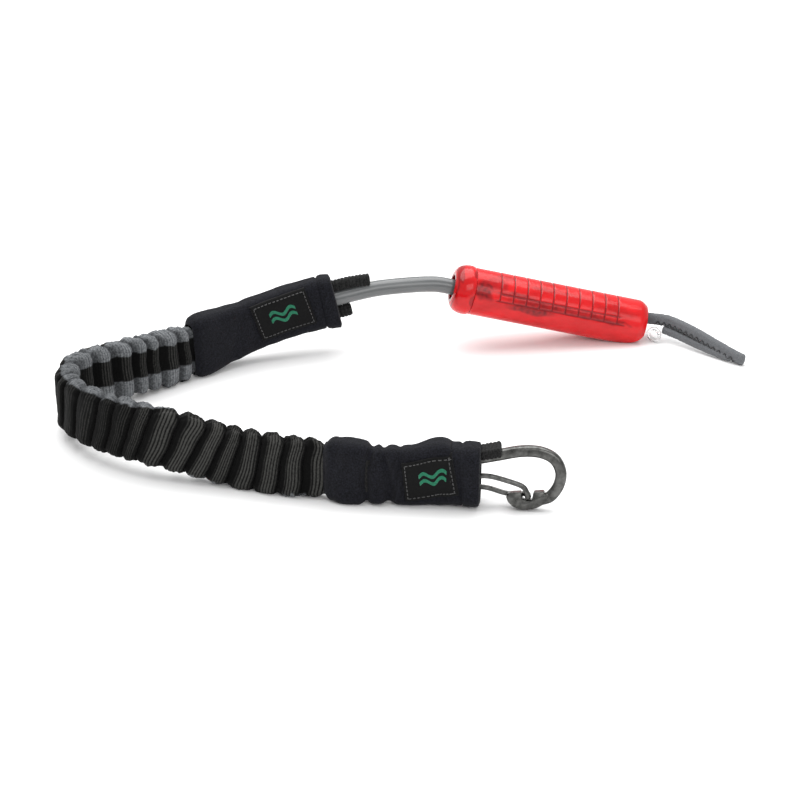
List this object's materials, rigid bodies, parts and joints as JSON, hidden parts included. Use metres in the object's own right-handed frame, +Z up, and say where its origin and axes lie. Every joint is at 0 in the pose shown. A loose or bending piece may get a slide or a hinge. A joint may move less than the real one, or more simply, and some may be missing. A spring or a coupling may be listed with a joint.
{
  "type": "kite safety leash",
  "caption": "Short elastic kite safety leash with padded cuffs, a wire-gate carabiner and a red quick-release sleeve, laid in a curve.",
  "frame": {"origin": "middle of the bounding box's footprint, on the ground", "axes": "+X from the strap's bend towards the kite loop, +Y from the carabiner's side to the release's side, +Z up"},
  "size_m": [0.3942, 0.2359, 0.049],
  "materials": {
    "carabiner": "satin dark steel",
    "gate": "satin steel wire",
    "webbing": "tight black webbing",
    "neoprene": "matt navy-black neoprene with a fine knit face",
    "label": "dark grey woven label",
    "label_thread": "pale grey thread",
    "bungee": "black ribbed weave with grey stripes",
    "elastic": "bare elastic cord",
    "tube": "dark grey satin tube",
    "line": "braided line",
    "steel": "plain turned steel",
    "core": "pale grey moulded plastic",
    "release_red": "clear red polyurethane with dark grip grooves",
    "loop": "grey webbing",
    "loop_thread": "dark zig-zag thread",
    "clear_plastic": "clear moulded plastic"
  },
  "bodies": {
    "rear_strap": {"bungee_sleeve": "bungee", "elastic_cords": "elastic", "rear_cuff": "neoprene", "rear_label": "label", "rear_label_stitching": "label_thread", "rear_webbing_loop": "webbing", "rear_bartack": "webbing", "leader_tube": "tube", "leader_line": "line", "tube_clamp": "steel", "release_core": "core", "jaw_pin": "steel", "sleeve_spring": "steel"},
    "front_strap": {"front_cuff": "neoprene", "front_label": "label", "front_label_stitching": "label_thread", "front_webbing_loop": "webbing", "front_bartack": "webbing"},
    "carabiner": {"carabiner_frame": "carabiner"},
    "gate": {"gate_wire": "gate"},
    "sleeve": {"sleeve_shell": "release_red", "sleeve_cap": "release_red"},
    "jaw": {"release_jaw": "steel"},
    "loop": {"kite_loop": "loop", "kite_loop_stitching": "loop_thread", "loop_keeper": "clear_plastic"}
  },
  "joints": [
    {"name": "bungee_stretch", "type": "slide", "parent": "rear_strap", "child": "front_strap", "axis": [0.97, -0.243, 0], "range_m": [0, 0.12], "stiffness_N_per_m": 120, "deforming": ["bungee_sleeve", "elastic_cords"]},
    {"name": "carabiner_swing", "type": "hinge", "parent": "front_strap", "child": "carabiner", "pos_m": [0.02019, -0.10718, 0.01919], "axis": [0.0181, 0.2071, 0.9781], "range_deg": [-2, 2]},
    {"name": "gate_hinge", "type": "hinge", "parent": "carabiner", "child": "gate", "pos_m": [0.02655, -0.10909, 0.01283], "axis": [-0.0853, -0.9744, 0.2079], "range_deg": [0, 25], "stiffness_Nm_per_rad": 0.08},
    {"name": "sleeve_slide", "type": "slide", "parent": "rear_strap", "child": "sleeve", "axis": [-0.9666, -0.0846, 0.2419], "range_m": [0, 0.018], "stiffness_N_per_m": 900, "springref_m": -0.004, "deforming": ["sleeve_spring"]},
    {"name": "jaw_hinge", "type": "hinge", "parent": "rear_strap", "child": "jaw", "pos_m": [0.1184, 0.10267, 0.0156], "axis": [0.0872, -0.9962, 0], "range_deg": [0, 27]},
    {"name": "loop_swing", "type": "hinge", "parent": "jaw", "child": "loop", "pos_m": [0.13676, 0.10428, 0.011], "axis": [0.241, 0.0211, 0.9703], "range_deg": [-6, 6]}
  ],
  "couplings": [
    {"joint": "jaw_hinge", "follows": "sleeve_slide", "rad_per_m": 26.1}
  ]
}
